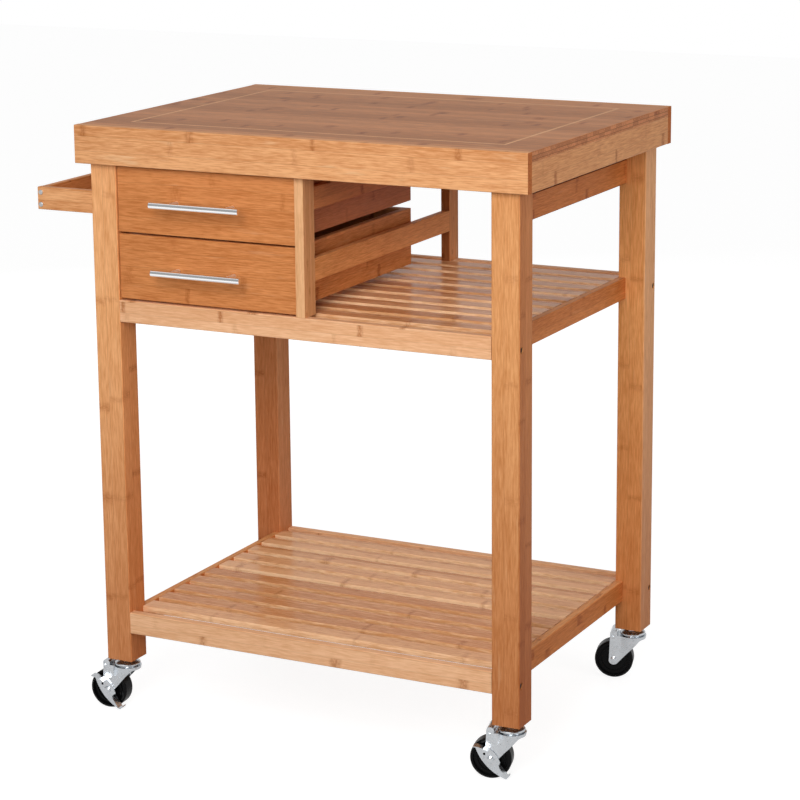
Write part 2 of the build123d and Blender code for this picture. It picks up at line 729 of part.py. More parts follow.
def caster_wheel():
    """Moulded wheel: rounded tread, recessed faces with a raised ring, hub."""
    half, bore = wheel_w / 2, axle_d / 2 + run_clear
    hub, rim, ring = hub_d / 2, wheel_r - 4.5, (hub_d / 2 + wheel_r) / 2
    hub_half, floor = cheek_in - face_clear, half - wheel_recess
    side = [
        (bore, hub_half), (hub - 1, hub_half), (hub, hub_half - 1), (hub + 0.5, floor), (ring - 1.5, floor),
        (ring - 1, floor + 1.5), (ring + 1, floor + 1.5), (ring + 1.5, floor), (rim - 0.5, floor), (rim, half),
        (wheel_r - 2.5, half), (wheel_r - 0.8, half - 0.8), (wheel_r, half - 2.5),
    ]
    wheel = ring_of(side + [(r, -y) for r, y in reversed(side)])
    return Pos(-trail, 0, wheel_r) * Rot(90, 0, 0) * wheel


def brake_lever(slope):
    """Leaf-shaped lever on the axle: outward pedals along its upper edge, a shoe over the tread."""
    end, neck = brake_end_w / 2, (brake_neck, brake_neck_h)
    lower = ThreePointArc((-brake_back, 0), (0, -brake_low), (brake_front, -end))
    front = Line((brake_front, -end), (brake_front, end))
    arm = Line((brake_front, end), neck)
    upper = ThreePointArc(neck, (0, brake_high), (-brake_back, 0))
    leaf = make_face(Wire([lower, front, arm, upper]))
    plate = extrude(leaf, brake_t)
    plate += Cylinder(axle_head_d / 2 + 2, brake_t, align=(Align.CENTER, Align.CENTER, Align.MIN))
    # pedals: the leaf's upper rim, pulled out on both sides of the axle
    rim = leaf - Pos(0, -brake_t) * leaf
    reach = brake_back + brake_front
    for x0, x1 in ((-reach, -brake_flange_from), (brake_flange_from, brake_front - 2 * brake_t)):
        window = Pos(x0, 0) * Rectangle(x1 - x0, reach, align=(Align.MIN, Align.MIN))
        plate += extrude(rim & window, brake_t + brake_flange)
    plate += Pos(brake_front, 0, brake_t) * Box(brake_t, brake_end_w, brake_shoe + brake_t,
                                                align=(Align.MAX, Align.CENTER, Align.MAX))
    plate -= Cylinder(axle_d / 2 + run_clear, 4 * brake_t)
    plate -= Pos(-brake_hole_back, 0, 0) * Cylinder(brake_hole_d / 2, 4 * brake_t)
    # stand the leaf against the -Y cheek: +Z of the drawing turns away from the wheel
    lever = Rot(0, slope, 0) * Rot(90, 0, 0) * plate
    return Pos(-trail, -cheek_out - face_clear, wheel_r) * lever


# ---------------------------------------------------------------- the set of nodes
nodes = {
    "worktop_panel": worktop_panel(),
    "worktop_inlay": group(inlay_strips(inlay_t)),
    "front_edge_board": edge_board(y_front, 0),
    "back_edge_board": edge_board(y_back - edge_t, -1),
    "side_boards": group([side_board(x_left, 0), side_board(x_right - edge_t, -1)]),
    "support_strips": group(worktop_battens() + shelf_cleats()),
    "top_rails": group([side_rail("left", "top"), side_rail("right", "top")]),
    "left_drawer_rail": side_rail("left", "drawer"),
    "divider_front_post": divider_post("front"),
    "divider_back_post": divider_post("back"),
    "divider_top_rail": divider_rail("top"),
    "divider_mid_rail": divider_rail("mid"),
    "drawer_runners": drawer_runners(),
    "towel_rack_arms": towel_rack_arms(),
    "towel_rack_bar": towel_rack_bar(),
    "towel_rack_screws": towel_rack_screws(),
    "frame_bolts": frame_bolts(),
    "barrel_nuts": barrel_nuts(),
    "assembly_screws": assembly_screws(),
}
for shelf in shelf_top:
    nodes[f"{shelf}_shelf_slats"] = slats(shelf)
    for end in ("front", "back"):
        nodes[f"{shelf}_shelf_{end}_rail"] = shelf_long_rail(shelf, end)
    for side in ("left", "right"):
        nodes[f"{shelf}_shelf_{side}_rail"] = side_rail(side, f"{shelf}_shelf")
for name, z in front_z.items():
    nodes[f"{name}_drawer_front"] = drawer_front(z)
    nodes[f"{name}_drawer_sides"] = drawer_sides(z)
    nodes[f"{name}_drawer_back"] = drawer_back(z)
    nodes[f"{name}_drawer_bottom"] = drawer_bottom(z)
    nodes[f"{name}_drawer_handle"] = drawer_handle(z)
    nodes[f"{name}_handle_screws"] = handle_screws(z)
stems = []
for end in ("front", "back"):
    for side in ("left", "right"):
        nodes[f"{end}_{side}_leg"] = leg(end, side)
        stems.append(place_caster(caster_stem(), end, side))
        nodes[f"{end}_{side}_fork"] = place_caster(caster_fork(), end, side)
        nodes[f"{end}_{side}_axle"] = place_caster(caster_axle(end == "front"), end, side)
        nodes[f"{end}_{side}_wheel"] = place_caster(caster_wheel(), end, side)
        if end == "front":
            nodes[f"{end}_{side}_brake"] = place_caster(brake_lever(brake_slopes[side]), end, side)
nodes["caster_stems"] = group(stems)

for name, shape in nodes.items():
    shape.label = name
    export_step(shape, f"parts/{name}.step")
print(len(nodes), "nodes; overall", overall_w, overall_d, overall_h)
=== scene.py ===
"""Rolling kitchen cart of laminated bamboo: finishes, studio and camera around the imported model.

Everything is in metres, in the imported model's frame: +X to the right, +Y to the back, +Z up.
"""
import math

import bmesh
import bpy
from mathutils import Matrix, Vector


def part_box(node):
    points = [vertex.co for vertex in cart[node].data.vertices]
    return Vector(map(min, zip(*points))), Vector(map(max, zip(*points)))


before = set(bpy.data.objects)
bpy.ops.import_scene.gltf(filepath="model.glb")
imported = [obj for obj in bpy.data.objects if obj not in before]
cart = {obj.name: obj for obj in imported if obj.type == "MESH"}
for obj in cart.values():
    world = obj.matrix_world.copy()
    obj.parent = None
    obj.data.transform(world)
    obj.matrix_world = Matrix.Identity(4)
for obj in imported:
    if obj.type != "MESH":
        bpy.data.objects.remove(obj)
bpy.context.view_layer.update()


# ---------------------------------------------------------------- node helpers
def put(tree, kind, inputs=None, **settings):
    """Add a node, set its properties, and link or fill its inputs."""
    node = tree.nodes.new(kind)
    for key, value in settings.items():
        setattr(node, key, value)
    for key, value in (inputs or {}).items():
        if isinstance(value, bpy.types.NodeSocket):
            tree.links.new(value, node.inputs[key])
        else:
            node.inputs[key].default_value = value
    return node


def calc(tree, operation, *values, clamp=False):
    """Math node with one to three values or sockets."""
    node = put(tree, "ShaderNodeMath", dict(enumerate(values)), operation=operation, use_clamp=clamp)
    return node.outputs[0]


def vector_calc(tree, operation, a, b):
    """Vector Math node on two vectors or sockets."""
    return put(tree, "ShaderNodeVectorMath", {0: a, 1: b}, operation=operation).outputs[0]


def xyz(tree, vector):
    """The three parts of a vector."""
    return put(tree, "ShaderNodeSeparateXYZ", {0: vector}).outputs


def noise(tree, position, scale, detail=2.0, roughness=0.5):
    """Noise from 0 to 1 with its own scale for each axis, in cycles per metre."""
    return put(tree, "ShaderNodeTexNoise", {
        "Vector": vector_calc(tree, "MULTIPLY", position, scale), "Scale": 1.0, "Detail": detail,
        "Roughness": roughness}).outputs[0]


def remap(tree, value, low, high, to_low=0.0, to_high=1.0, smooth=True):
    """Value taken from one range to another and held inside it."""
    return put(tree, "ShaderNodeMapRange", {
        "Value": value, "From Min": low, "From Max": high, "To Min": to_low, "To Max": to_high},
        interpolation_type="SMOOTHSTEP" if smooth else "LINEAR").outputs[0]


def off_middle(tree, count):
    """Distance of a running count from the middle of its present step, from 0 to 0.5."""
    return calc(tree, "ABSOLUTE", calc(tree, "SUBTRACT", calc(tree, "FRACT", count), 0.5))


def blend_colour(tree, share, a, b, mode="MIX"):
    """Second colour laid over the first by a share from 0 to 1."""
    node = put(tree, "ShaderNodeMix", {"Factor": share}, data_type="RGBA", blend_type=mode)
    for socket, value in ((node.inputs[6], a), (node.inputs[7], b)):
        if isinstance(value, bpy.types.NodeSocket):
            tree.links.new(value, socket)
        else:
            socket.default_value = value
    return node.outputs[2]


def new_group(name, inputs, outputs):
    """Empty node group; inputs are (name, kind, default), outputs are (name, kind)."""
    tree = bpy.data.node_groups.new(name, "ShaderNodeTree")
    kinds = {"value": "NodeSocketFloat", "vector": "NodeSocketVector", "colour": "NodeSocketColor"}
    for label, kind, default in inputs:
        tree.interface.new_socket(label, in_out="INPUT", socket_type=kinds[kind]).default_value = default
    for label, kind in outputs:
        tree.interface.new_socket(label, in_out="OUTPUT", socket_type=kinds[kind])
    start, end = tree.nodes.new("NodeGroupInput"), tree.nodes.new("NodeGroupOutput")
    return tree, start.outputs, end.inputs


# ---------------------------------------------------------------- shared effects
KNOT_HALF = 0.001, 0.009  # a knot's band is full to the first distance and gone at the second
KNOT_WOBBLE = 0.008
KNOT_BATCH_STEP = 0.137  # moves the knots from one board to the next
STREAKS, FIBRES, CLOUDS = (16, 340, 340), (48, 560, 560), (9, 45, 45)
SEAM_DARKNESS = 0.13
END_FADE = 0.0006
SCUFF_GREY = (0.42, 0.42, 0.43, 1)


def make_bamboo_group():
    """Glued bamboo strips that run along X, with knots, fibres, pale flecks and dark cut ends."""
    tree, start, end = new_group("laminated bamboo", [
        ("Position", "vector", (0, 0, 0)),
        ("Light", "colour", (0.7, 0.34, 0.14, 1)), ("Deep", "colour", (0.55, 0.24, 0.085, 1)),
        ("Knot tone", "colour", (0.6, 0.45, 0.34, 1)), ("Pale", "colour", (0.86, 0.58, 0.34, 1)),
        ("Strip width", "value", 0.022), ("Strip depth", "value", 0.006),
        ("Knot spacing", "value", 0.2), ("Knot strength", "value", 1.0),
        ("Strip contrast", "value", 0.5), ("Streak contrast", "value", 1.0),
        ("Fleck strength", "value", 0.18), ("End darkness", "value", 0.6),
        ("Low end", "value", -9.0), ("High end", "value", 9.0),
        ("Side", "value", 0.0), ("Side tone", "colour", (0.95, 0.82, 0.7, 1)),
        ("Batch", "value", 0.0), ("Base roughness", "value", 0.44),
    ], [("Colour", "colour"), ("Roughness", "value"), ("Height", "value")])
    place = start["Position"]
    axes = xyz(tree, place)
    across = calc(tree, "DIVIDE", axes[1], start["Strip width"])
    deep = calc(tree, "DIVIDE", axes[2], start["Strip depth"])
    cell = put(tree, "ShaderNodeCombineXYZ", {
        0: calc(tree, "FLOOR", across), 1: calc(tree, "FLOOR", deep), 2: start["Batch"]}).outputs[0]
    draw = put(tree, "ShaderNodeTexWhiteNoise", {"Vector": cell}, noise_dimensions="3D").outputs
    picks = put(tree, "ShaderNodeSeparateColor", {0: draw["Color"]}).outputs
    moved = vector_calc(tree, "ADD", place, put(tree, "ShaderNodeCombineXYZ", {
        0: calc(tree, "MULTIPLY", picks[0], 7.0), 1: start["Batch"], 2: 0.0}).outputs[0])

    # knots: a soft band of short dark dashes across the strip, at its own place on each strip
    wobble = calc(tree, "SUBTRACT", noise(tree, moved, (40, 160, 160), 2), 0.5)
    phase = calc(tree, "ADD", picks[1], calc(tree, "MULTIPLY", start["Batch"], KNOT_BATCH_STEP))
    phase = calc(tree, "ADD", phase, noise(tree, moved, (5, 0.1, 0.1), 1))
    along = calc(tree, "ADD", calc(tree, "DIVIDE", axes[0], start["Knot spacing"]), phase)
    along = calc(tree, "SUBTRACT", calc(tree, "FRACT", along), 0.5)
    gap = calc(tree, "MULTIPLY", along, start["Knot spacing"])
    gap = calc(tree, "ABSOLUTE", calc(tree, "ADD", gap, calc(tree, "MULTIPLY", wobble, KNOT_WOBBLE)))
    band = remap(tree, gap, *KNOT_HALF, 1.0, 0.0)
    dashes = remap(tree, noise(tree, moved, (420, 170, 170), 3, 0.6), 0.36, 0.6)
    chosen = remap(tree, picks[2], 0.1, 0.9, 0.1, 1.0)
    knot = calc(tree, "MULTIPLY", band, calc(tree, "ADD", 0.4, calc(tree, "MULTIPLY", dashes, 0.6)))
    knot = calc(tree, "MULTIPLY", knot, calc(tree, "MULTIPLY", chosen, start["Knot strength"]), clamp=True)

    # tone: strip by strip, then streaks, fibres and slow clouds along it
    streaks = calc(tree, "SUBTRACT", noise(tree, moved, STREAKS, 3, 0.6), 0.5)
    fibres = calc(tree, "SUBTRACT", noise(tree, moved, FIBRES, 2, 0.6), 0.5)
    clouds = calc(tree, "SUBTRACT", noise(tree, place, CLOUDS, 3, 0.6), 0.5)
    tone = calc(tree, "MULTIPLY", calc(tree, "SUBTRACT", draw["Value"], 0.5), start["Strip contrast"])
    grain = calc(tree, "ADD", calc(tree, "MULTIPLY", streaks, 1.25), calc(tree, "MULTIPLY", fibres, 2.0))
    tone = calc(tree, "ADD", tone, calc(tree, "MULTIPLY", grain, start["Streak contrast"]))
    tone = calc(tree, "ADD", calc(tree, "ADD", tone, 0.5), calc(tree, "MULTIPLY", clouds, 0.7), clamp=True)
    colour = blend_colour(tree, tone, start["Deep"], start["Light"])
    flecks = remap(tree, noise(tree, moved, (9, 95, 95), 3, 0.65), 0.6, 0.76)
    flecks = calc(tree, "MULTIPLY", flecks, start["Fleck strength"])
    colour = blend_colour(tree, flecks, colour, start["Pale"])
    colour = blend_colour(tree, knot, colour, start["Knot tone"], "MULTIPLY")
    colour = blend_colour(tree, start["Side"], colour, start["Side tone"], "MULTIPLY")

    # glue lines and cut ends
    seams = [remap(tree, off_middle(tree, count), low, 0.5) for count, low in ((across, 0.48), (deep, 0.46))]
    seam = calc(tree, "MULTIPLY", calc(tree, "MAXIMUM", *seams), SEAM_DARKNESS)
    past_high = calc(tree, "ADD", start["High end"], END_FADE)
    past_low = calc(tree, "SUBTRACT", start["Low end"], END_FADE)
    ends = calc(tree, "MAXIMUM", remap(tree, axes[0], start["High end"], past_high),
                remap(tree, axes[0], past_low, start["Low end"], 1.0, 0.0))
    pores = remap(tree, noise(tree, place, (900, 900, 900), 2), 0.4, 0.62)
    layers = remap(tree, off_middle(tree, deep), 0.34, 0.44)
    dark = calc(tree, "ADD", start["End darkness"], calc(tree, "MULTIPLY", pores, 0.12))
    ends = calc(tree, "MULTIPLY", ends, calc(tree, "MAXIMUM", dark, calc(tree, "MULTIPLY", layers, 0.72)))
    shade = calc(tree, "SUBTRACT", 1.0, calc(tree, "ADD", seam, ends, clamp=True))
    colour = put(tree, "ShaderNodeVectorMath", {0: colour, "Scale": shade}, operation="SCALE").outputs[0]
    tree.links.new(colour, end["Colour"])
    rough = calc(tree, "ADD", start["Base roughness"], calc(tree, "MULTIPLY", grain, 0.08))
    tree.links.new(calc(tree, "ADD", rough, calc(tree, "MULTIPLY", ends, 0.3)), end["Roughness"])
    height = calc(tree, "SUBTRACT", grain, calc(tree, "ADD", calc(tree, "MULTIPLY", knot, 0.5), seam))
    tree.links.new(height, end["Height"])
    return tree


def make_metal_group():
    """Bright plated steel: faint clouds in the plating, drawing lines and small scuffs."""
    tree, start, end = new_group("worked steel", [
        ("Position", "vector", (0, 0, 0)), ("Metal", "colour", (0.7, 0.7, 0.7, 1)),
        ("Line pitch", "vector", (20.0, 1800.0, 1800.0)),
        ("Roughness", "value", 0.2), ("Wear", "value", 0.2),
    ], [("Colour", "colour"), ("Roughness", "value"), ("Height", "value")])
    place = start["Position"]
    lines = noise(tree, place, start["Line pitch"])
    clouds = noise(tree, place, (70, 70, 70), 3)
    scuffs = remap(tree, noise(tree, place, (260, 260, 260), 3, 0.7), 0.58, 0.72)
    dull = calc(tree, "ADD", calc(tree, "MULTIPLY", clouds, 0.6), scuffs)
    dull = calc(tree, "MULTIPLY", dull, start["Wear"], clamp=True)
    colour = blend_colour(tree, dull, start["Metal"], SCUFF_GREY)
    tree.links.new(colour, end["Colour"])
    uneven = calc(tree, "MULTIPLY", calc(tree, "SUBTRACT", lines, 0.5), 0.15)
    rough = calc(tree, "ADD", start["Roughness"], uneven)
    rough = calc(tree, "ADD", rough, calc(tree, "MULTIPLY", dull, 0.5), clamp=True)
    tree.links.new(rough, end["Roughness"])
    tree.links.new(lines, end["Height"])
    return tree


bamboo_group = make_bamboo_group()
metal_group = make_metal_group()


# ---------------------------------------------------------------- materials
def new_material(name):
    """Material with an empty tree, its Principled shader and object coordinates."""
    material = bpy.data.materials.new(name)
    material.use_nodes = True
    tree = material.node_tree
    tree.nodes.clear()
    shader = tree.nodes.new("ShaderNodeBsdfPrincipled")
    out = tree.nodes.new("ShaderNodeOutputMaterial")
    tree.links.new(shader.outputs[0], out.inputs[0])
    place = tree.nodes.new("ShaderNodeTexCoord").outputs["Object"]
    return material, tree, shader, place


def finish_with(tree, shader, group, bump_strength, bump_depth):
    """Join a shared group's colour, roughness and height to the shader."""
    tree.links.new(group.outputs["Colour"], shader.inputs["Base Color"])
    tree.links.new(group.outputs["Roughness"], shader.inputs["Roughness"])
    bump = put(tree, "ShaderNodeBump", {
        "Height": group.outputs["Height"], "Strength": bump_strength, "Distance": bump_depth})
    tree.links.new(bump.outputs[0], shader.inputs["Normal"])


GRAIN_TURN = {"X": (0, 0, 0), "Y": (0, 0, -math.pi / 2), "Z": (0, math.pi / 2, 0)}
HONEY = {"Light": (0.79, 0.36, 0.14), "Deep": (0.55, 0.2, 0.058)}
GOLD = {"Light": (0.82, 0.42, 0.195), "Deep": (0.58, 0.235, 0.085)}
AMBER = {"Light": (0.7, 0.275, 0.094), "Deep": (0.49, 0.162, 0.046)}
STRAW = {"Light": (0.82, 0.46, 0.235), "Deep": (0.66, 0.33, 0.145)}
CREAM = {"Light": (0.92, 0.54, 0.31), "Deep": (0.74, 0.37, 0.18)}
BLOND = {"Light": (0.86, 0.465, 0.235), "Deep": (0.58, 0.23, 0.083)}
# painted shade: very dark tone for the divider's back post, which stands in the shade under the worktop
UMBER_PAINTED_SHADE = {"Light": (0.3, 0.1, 0.03), "Deep": (0.22, 0.07, 0.02)}
TOFFEE = {"Light": (0.68, 0.27, 0.1), "Deep": (0.46, 0.17, 0.055)}
# painted shade: darker brown for the upper drawer's sides, which sit in the shade under the worktop
PAINTED_SHADE_BROWN = {"Light": (0.66, 0.27, 0.125), "Deep": (0.48, 0.165, 0.065)}
BRONZE = {"Light": (0.64, 0.265, 0.107), "Deep": (0.4, 0.15, 0.052)}
RUSSET = {"Light": (0.76, 0.27, 0.083), "Deep": (0.53, 0.15, 0.035)}
WHEAT = {"Light": (0.88, 0.455, 0.21), "Deep": (0.63, 0.255, 0.092)}
WIDE, THIN = 0.022, 0.0055  # a bamboo strip's flat face and its edge
BOARD_LAYER = 0.017  # wider than a rail is thick, so that the rail is one layer
STRIP_SETBACK = 0.0023  # the strips start this far outside a board's lowest corner
END_INSET = 0.0003  # a cut end's dark tone starts this far inside the end face
FOOT_SHADE_HEIGHTS = 0.05, 0.62  # the painted shade towards the floor is full at the first height and gone at the second
# tint of the painted shade that darkens and reddens the legs towards the floor
FOOT_SHADE_TONE = (0.72, 0.56, 0.5)
WOOD_BUMP = 0.25, 0.0003  # strength and depth
FINE_BUMP_DEPTH = 0.0001  # on metal and plastic

# each leg's tint against the common honey tone, and the tone of its faces square to X; partly the leg's own
# wood tone, partly painted light and shade that lighten or darken a leg and its side faces as the lamps would
LEG_TONES_AND_PAINTED_LIGHT = {
    "front_right_leg": ((1.03, 1.1, 1.18), (0.83, 0.67, 0.6)),
    "front_left_leg": ((1.2, 1.36, 1.6), (0.97, 0.83, 0.71)),
    "back_right_leg": ((1.21, 1.28, 1.25), (1.0, 1.1, 1.45)),
    "back_left_leg": ((0.95, 0.88, 0.93), (1.17, 1.32, 1.46)),
}


def tinted(colour, tint):
    """Colour times a tint, part by part."""
    return tuple(part * share for part, share in zip(colour, tint))


def bamboo(name, grain, tones, corner, gloss, values, facing, foot_shade):
    """Lacquered bamboo whose grain runs along an axis; strips are set out from the board's corner.

    Faces square to the facing axis take the side tone, and a painted shade darkens and reddens the wood
    towards the floor.
    """
    material, tree, shader, place = new_material(name)
    turned = put(tree, "ShaderNodeMapping", {
        "Vector": vector_calc(tree, "SUBTRACT", place, corner), "Rotation": GRAIN_TURN[grain]}).outputs[0]
    group = put(tree, "ShaderNodeGroup", {}, node_tree=bamboo_group)
    tree.links.new(turned, group.inputs["Position"])
    normal = xyz(tree, tree.nodes.new("ShaderNodeTexCoord").outputs["Normal"])
    tree.links.new(calc(tree, "ABSOLUTE", normal["XYZ".index(facing)]), group.inputs["Side"])
    for label, colour in tones.items():
        group.inputs[label].default_value = (*colour, 1)
        # painted shade: each tone blends towards its darker, redder tint near the floor
        if foot_shade:
            depth = remap(tree, xyz(tree, place)[2], *FOOT_SHADE_HEIGHTS, 1.0, 0.0, smooth=False)
            toned = blend_colour(tree, depth, (*colour, 1), (*tinted(colour, foot_shade), 1))
            tree.links.new(toned, group.inputs[label])
    for label, value in values.items():
        socket = group.inputs[label.replace("_", " ").capitalize()]
        socket.default_value = (*value, 1) if isinstance(value, tuple) else value
    finish_with(tree, shader, group, *WOOD_BUMP)
    shader.inputs["Specular IOR Level"].default_value = gloss
    return material


def dress(material, *names):
    """Put one material on each named piece."""
    for name in names:
        slots = cart[name].data.materials
        slots.clear()
        slots.append(material)


def board(names, grain, tones, gloss=0.06, facing="X", foot_shade=None, **values):
    """Give each named piece its own bamboo; its cut ends are dark where its grain starts and stops."""
    for name in names:
        low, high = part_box(name)
        corner = low - Vector((STRIP_SETBACK,) * 3)
        along = "XYZ".index(grain)
        limits = {"low_end": low[along] - corner[along] + END_INSET,
                  "high_end": high[along] - corner[along] - END_INSET}
        batch = 3.0 + 2 * sorted(cart).index(name)
        own = {"batch": batch, **limits, **values}
        dress(bamboo(f"{name} bamboo", grain, tones, corner, gloss, own, facing, foot_shade), name)


board(["worktop_panel"], "X", BRONZE, 0.13, strip_width=WIDE, strip_depth=THIN, strip_contrast=0.9,
      streak_contrast=1.3, end_darkness=0.05, side_tone=(1.12, 1.0, 0.92))
board(["worktop_inlay"], "X", STRAW, 0.1, strip_width=0.03, strip_depth=0.03, knot_strength=0.2)
board(["front_edge_board", "back_edge_board"], "X", GOLD, strip_width=THIN, strip_depth=WIDE,
      fleck_strength=0.45, end_darkness=0.68, side_tone=(1.15, 0.72, 0.45), knot_strength=0.7)
board(["side_boards"], "Y", GOLD, 0.1, strip_width=THIN, strip_depth=WIDE, strip_contrast=0.3,
      side_tone=(1.02, 0.96, 0.88))
board(["support_strips"], "Y", TOFFEE)
# painted shadow: the top rails' upper faces, square to Z, are near black for the shade under the side boards
board(["top_rails"], "Y", RUSSET, strip_width=THIN, strip_depth=BOARD_LAYER, facing="Z",
      side_tone=(0.09, 0.08, 0.07))
board(["left_drawer_rail", "middle_shelf_left_rail", "middle_shelf_right_rail", "lower_shelf_left_rail",
       "lower_shelf_right_rail"], "Y", HONEY, strip_width=THIN, strip_depth=BOARD_LAYER,
      side_tone=(0.95, 0.74, 0.58))
board(["divider_mid_rail"], "Y", HONEY, strip_width=THIN, strip_depth=BOARD_LAYER, side_tone=(1.08, 1.0, 0.9))
board(["divider_top_rail", "drawer_runners"], "Y", TOFFEE, strip_width=THIN, strip_depth=BOARD_LAYER)
# painted light and shade: the legs' tints and side tones stand in for how the light falls on each leg
for leg, (tint, side_tone) in LEG_TONES_AND_PAINTED_LIGHT.items():
    board([leg], "Z", {label: tinted(tone, tint) for label, tone in HONEY.items()}, strip_width=WIDE,
          strip_depth=WIDE, knot_strength=0.65, knot_spacing=0.17, strip_contrast=0.3,
          streak_contrast=0.8, side_tone=side_tone, foot_shade=FOOT_SHADE_TONE)
board(["divider_front_post"], "Z", STRAW, strip_width=0.005, strip_depth=0.0085, knot_strength=0.5)
# painted shade: the back post's front face stays near black, and its faces square to X are made lighter as if
# lit
board(["divider_back_post"], "Z", UMBER_PAINTED_SHADE, strip_width=0.005, strip_depth=0.0085,
      side_tone=(2.5, 3.0, 3.6))
# painted light: the slats' faces square to Y, their front and back edges, are made paler by the side tone as
# if lit from the front
board(["middle_shelf_slats", "lower_shelf_slats"], "X", BLOND, 0.11, strip_width=0.0233, strip_depth=0.02,
      strip_contrast=0.8, base_roughness=0.2, facing="Y", side_tone=(1.16, 1.42, 1.68), knot_strength=0.7)
board([f"{shelf}_shelf_{end}_rail" for shelf in ("middle", "lower") for end in ("front", "back")],
      "X", CREAM,
      strip_width=0.02, strip_depth=BOARD_LAYER)
board(["upper_drawer_front", "lower_drawer_front"], "X", AMBER, strip_width=THIN, strip_depth=0.026,
      knot_strength=0.75)
# painted shade: the upper drawer's sides are darker than the lower drawer's for the shade under the worktop
board(["upper_drawer_sides"], "Y", PAINTED_SHADE_BROWN, strip_width=THIN, strip_depth=WIDE)
board(["lower_drawer_sides"], "Y", HONEY, strip_width=THIN, strip_depth=WIDE)
board(["upper_drawer_back", "lower_drawer_back"], "X", TOFFEE, strip_width=THIN, strip_depth=WIDE)
board(["upper_drawer_bottom", "lower_drawer_bottom"], "X", STRAW, strip_width=0.05, strip_depth=0.02,
      knot_strength=0.2)
board(["towel_rack_arms"], "X", WHEAT, strip_width=THIN, strip_depth=0.0175)
board(["towel_rack_bar"], "Y", HONEY, strip_width=THIN, strip_depth=0.0175)


def steel(name, metal, roughness, wear, line_pitch, bump=0.1, satin_behind=None):
    """Plated steel; past the satin plane, where Y is greater, its finish is rougher."""
    material, tree, shader, place = new_material(name)
    group = put(tree, "ShaderNodeGroup", {}, node_tree=metal_group)
    tree.links.new(place, group.inputs["Position"])
    group.inputs["Metal"].default_value = (*metal, 1)
    group.inputs["Roughness"].default_value = roughness
    if satin_behind:
        satin = remap(tree, xyz(tree, place)[1], satin_behind, satin_behind + 0.001, roughness, 0.5)
        tree.links.new(satin, group.inputs["Roughness"])
    group.inputs["Wear"].default_value = wear
    group.inputs["Line pitch"].default_value = line_pitch
    finish_with(tree, shader, group, bump, FINE_BUMP_DEPTH)
    shader.inputs["Metallic"].default_value = 1.0
    return material


HANDLE_BAR_BACK = -0.2728  # the handles' round bars end here and their posts begin
EVEN = (400, 400, 400)

dress(steel("brushed handle steel", (0.88, 0.88, 0.88), 0.1, 0.0, (12, 1500, 1500),
            satin_behind=HANDLE_BAR_BACK), "upper_drawer_handle", "lower_drawer_handle")
dress(steel("zinc screw", (0.6, 0.6, 0.6), 0.3, 0.4, EVEN), "upper_handle_screws",
      "lower_handle_screws", "towel_rack_screws", "barrel_nuts", "assembly_screws")
# near-black bolt steel, which also paints the shade down inside the bolt holes
dress(steel("near-black bolt steel and painted hole shade", (0.05, 0.047, 0.045), 0.45, 0.3, EVEN), "frame_bolts")
zinc = steel("bright zinc plate", (0.84, 0.88, 0.92), 0.14, 0.7, (300, 300, 300), bump=0.4)
dress(zinc, "caster_stems")


def wheel_plastic():
    """Glossy black moulding, a little dusty on the tread."""
    material, tree, shader, place = new_material("black wheel moulding")
    dust = remap(tree, noise(tree, place, (190, 190, 190), 4, 0.7), 0.52, 0.75, 0.0, 0.5)
    grain = noise(tree, place, (1500, 1500, 1500), 2)
    colour = blend_colour(tree, dust, (0.003, 0.003, 0.0033, 1), (0.012, 0.011, 0.01, 1))
    tree.links.new(colour, shader.inputs["Base Color"])
    rough = calc(tree, "ADD", calc(tree, "MULTIPLY", dust, 0.5), calc(tree, "MULTIPLY", grain, 0.08))
    tree.links.new(calc(tree, "ADD", 0.22, rough), shader.inputs["Roughness"])
    shader.inputs["Specular IOR Level"].default_value = 0.12
    bump = put(tree, "ShaderNodeBump", {"Height": grain, "Strength": 0.15, "Distance": FINE_BUMP_DEPTH})
    tree.links.new(bump.outputs[0], shader.inputs["Normal"])
    return material


wheel_black = wheel_plastic()
for end in ("front", "back"):
    for side in ("left", "right"):
        dress(wheel_black, f"{end}_{side}_wheel")
        dress(zinc, f"{end}_{side}_fork", f"{end}_{side}_axle")
        if end == "front":
            dress(zinc, f"{end}_{side}_brake")


# ---------------------------------------------------------------- studio
FLOOR_HALF = 9.0
FLOOR_GREY, FLOOR_SEEN = 0.28, 0.86  # its own colour, and the white that it adds to the camera's view
FLOOR_NEAR, FLOOR_FAR = (0.5, 0.42), (1.3, 0.85)  # distance from the cart, and brightness in reflections; the dimmer floor near the cart is painted shade
AMBIENT = 0.38
ROOM, BACKDROP = 0.12, 0.6  # brightness in reflections, towards the front and the back
LAMP_AIM = Vector((0, -0.2, 0.6))


def make_floor():
    """Plain floor that keeps the cart's shadow and is near white to the camera."""
    mesh = bpy.data.meshes.new("floor")
    bm = bmesh.new()
    bmesh.ops.create_grid(bm, x_segments=1, y_segments=1, size=FLOOR_HALF)
    bm.to_mesh(mesh)
    bm.free()
    floor = bpy.data.objects.new("floor", mesh)
    bpy.context.scene.collection.objects.link(floor)
    material, tree, shader, place = new_material("pale studio floor")
    shader.inputs["Base Color"].default_value = (FLOOR_GREY, FLOOR_GREY, FLOOR_GREY, 1)
    shader.inputs["Roughness"].default_value = 0.9
    shader.inputs["Specular IOR Level"].default_value = 0.1
    seen = put(tree, "ShaderNodeLightPath").outputs
    away = put(tree, "ShaderNodeVectorMath", {0: place}, operation="LENGTH").outputs["Value"]
    # painted shade in reflections: the floor glows dimmer near the cart
    level = remap(tree, away, FLOOR_NEAR[0], FLOOR_FAR[0], FLOOR_NEAR[1], FLOOR_FAR[1])
    mirrored = calc(tree, "MULTIPLY", seen["Is Glossy Ray"], level)
    watched = calc(tree, "MULTIPLY", seen["Is Camera Ray"], FLOOR_SEEN)
    tree.links.new(calc(tree, "MAXIMUM", watched, mirrored), shader.inputs["Emission Strength"])
    shader.inputs["Emission Color"].default_value = (1, 1, 1, 1)
    mesh.materials.append(material)


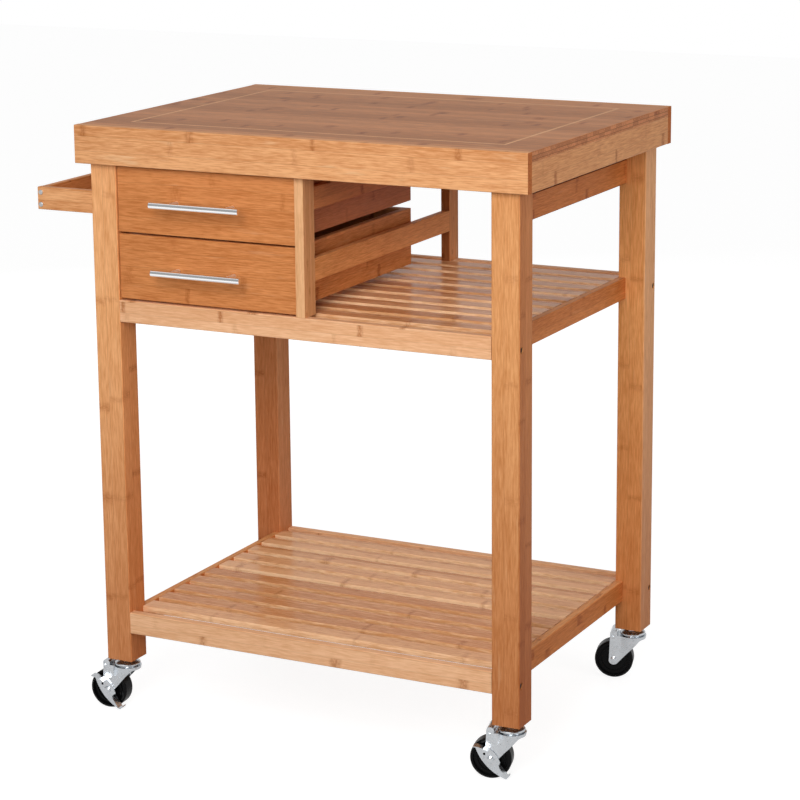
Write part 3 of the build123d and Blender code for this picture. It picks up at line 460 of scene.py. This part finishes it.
def make_world():
    """White to the camera; backdrop, bright zenith and dim room in reflections; else soft light."""
    world = bpy.data.worlds.new("studio")
    bpy.context.scene.world = world
    world.use_nodes = True
    tree = world.node_tree
    tree.nodes.clear()
    seen = put(tree, "ShaderNodeLightPath").outputs
    way = xyz(tree, tree.nodes.new("ShaderNodeTexCoord").outputs["Generated"])
    wall, zenith = remap(tree, way[1], -0.3, 0.6, ROOM, BACKDROP), remap(tree, way[2], 0.72, 0.86)
    mirrored = calc(tree, "MAXIMUM", wall, zenith)
    direct = calc(tree, "MAXIMUM", seen["Is Camera Ray"], seen["Is Transmission Ray"])
    strength = calc(tree, "MAXIMUM", direct, calc(tree, "MULTIPLY", seen["Is Glossy Ray"], mirrored))
    strength = calc(tree, "MAXIMUM", strength, AMBIENT)
    back = put(tree, "ShaderNodeBackground", {"Color": (1, 1, 1, 1), "Strength": strength})
    out = tree.nodes.new("ShaderNodeOutputWorld")
    tree.links.new(back.outputs[0], out.inputs[0])


def soft_box(name, location, size, level, mirrored=True):
    """Square lamp aimed at the cart; level is how bright it makes a white wall that faces it there."""
    lamp = bpy.data.lights.new(name, "AREA")
    lamp.shape = "SQUARE"
    lamp.size = size
    way = Vector(location) - LAMP_AIM
    lamp.energy = level * math.pi ** 2 * way.length_squared
    item = bpy.data.objects.new(name, lamp)
    bpy.context.scene.collection.objects.link(item)
    item.location = location
    item.visible_glossy = mirrored
    item.rotation_euler = way.to_track_quat("Z", "Y").to_euler()


def make_camera():
    """Camera in front and to the right of the cart, a little above its worktop."""
    data = bpy.data.cameras.new("camera")
    data.lens, data.sensor_width = 114.98, 36.0
    data.shift_x, data.shift_y = 0.0252, -0.075
    camera = bpy.data.objects.new("camera", data)
    bpy.context.scene.collection.objects.link(camera)
    yaw, pitch, roll = (math.radians(angle) for angle in (27.36, -12.57, -0.62))
    ahead = Vector((-math.sin(yaw) * math.cos(pitch), math.cos(yaw) * math.cos(pitch), math.sin(pitch)))
    right = ahead.cross(Vector((0, 0, 1))).normalized()
    up = right.cross(ahead)
    level, lean = math.cos(roll), math.sin(roll)
    turn = Matrix((level * right + lean * up, level * up - lean * right, -ahead)).transposed().to_4x4()
    camera.matrix_world = Matrix.Translation((1.8292, -3.4281, 1.4392)) @ turn
    bpy.context.scene.camera = camera


make_floor()
make_world()
make_camera()
soft_box("front lamp", (0.48, -2.07, 1.79), 0.9, 0.49)
soft_box("far front lamp", (1.18, -3.43, 1.35), 1.4, 0.25)
soft_box("right lamp", (3.22, -0.45, 1.62), 1.4, 0.19)
soft_box("back lamp", (-1.9, 2.7, 1.5), 1.4, 0.2, mirrored=False)
bpy.context.scene.view_settings.view_transform = "Standard"
